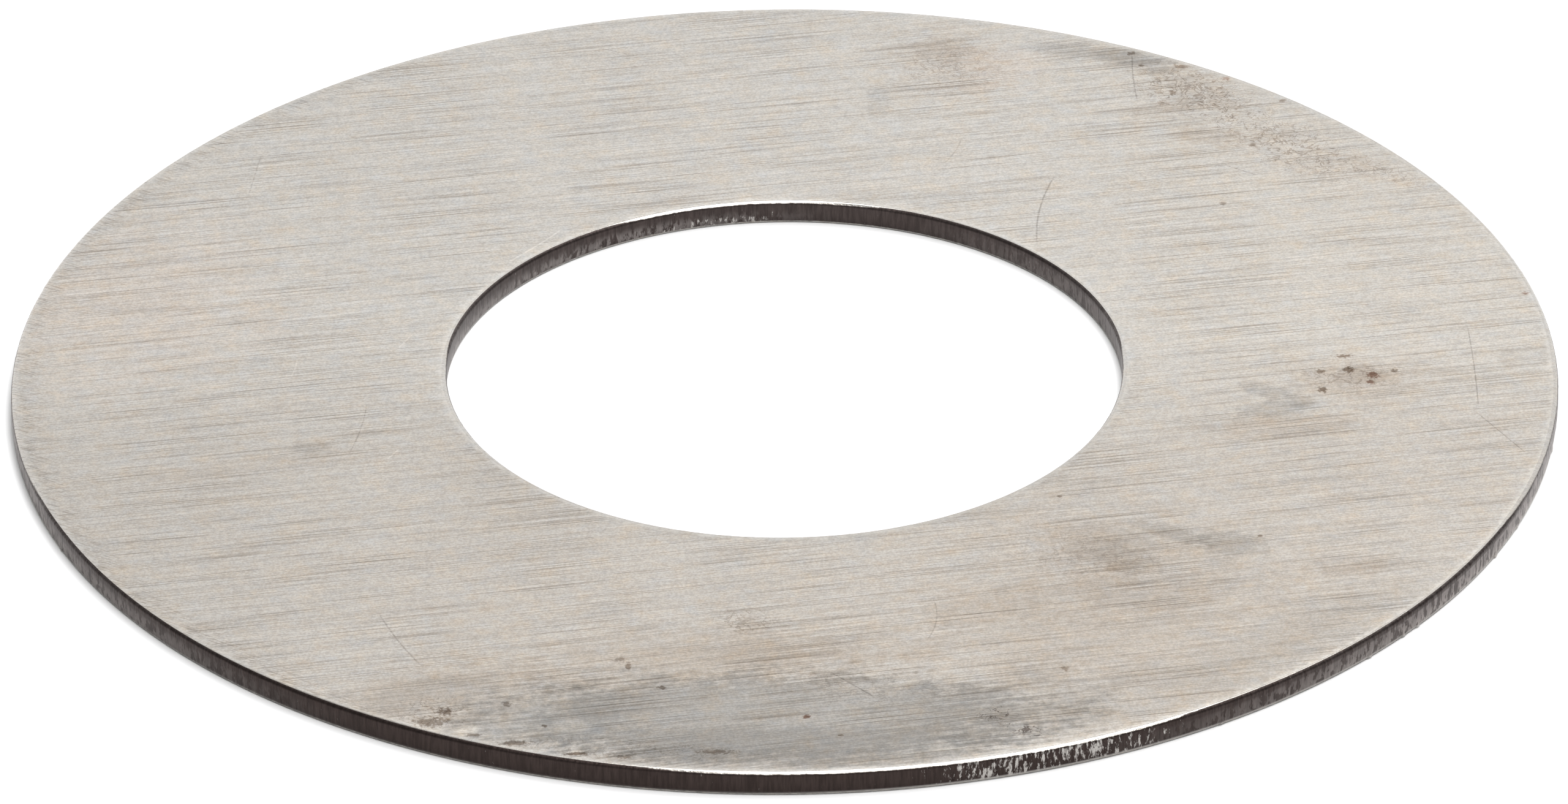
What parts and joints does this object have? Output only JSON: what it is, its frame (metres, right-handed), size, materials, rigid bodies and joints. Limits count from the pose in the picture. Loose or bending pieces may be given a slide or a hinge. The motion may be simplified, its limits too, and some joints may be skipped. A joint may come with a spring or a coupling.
{
  "type": "flat washer",
  "caption": "Thin flat round washer: a plain ring of ground steel strip with a large central hole, rolled upper edges and sheared side walls.",
  "frame": {"origin": "centre of the hole, in the plane of the lower face that the washer rests on", "axes": "+Z along the hole's axis, out of the upper face, whose edges are rolled over by the punch; X and Y are any two directions across the ring, with the grinding lines about 11 degrees from +X"},
  "size_m": [0.0508, 0.0508, 0.0008],
  "materials": {
    "ground_steel": "belt-ground strip with fine parallel lines, light brown and grey stains; dark, mottled sheared edges"
  },
  "bodies": {
    "root": {"flat_washer": "ground_steel"}
  },
  "joints": []
}
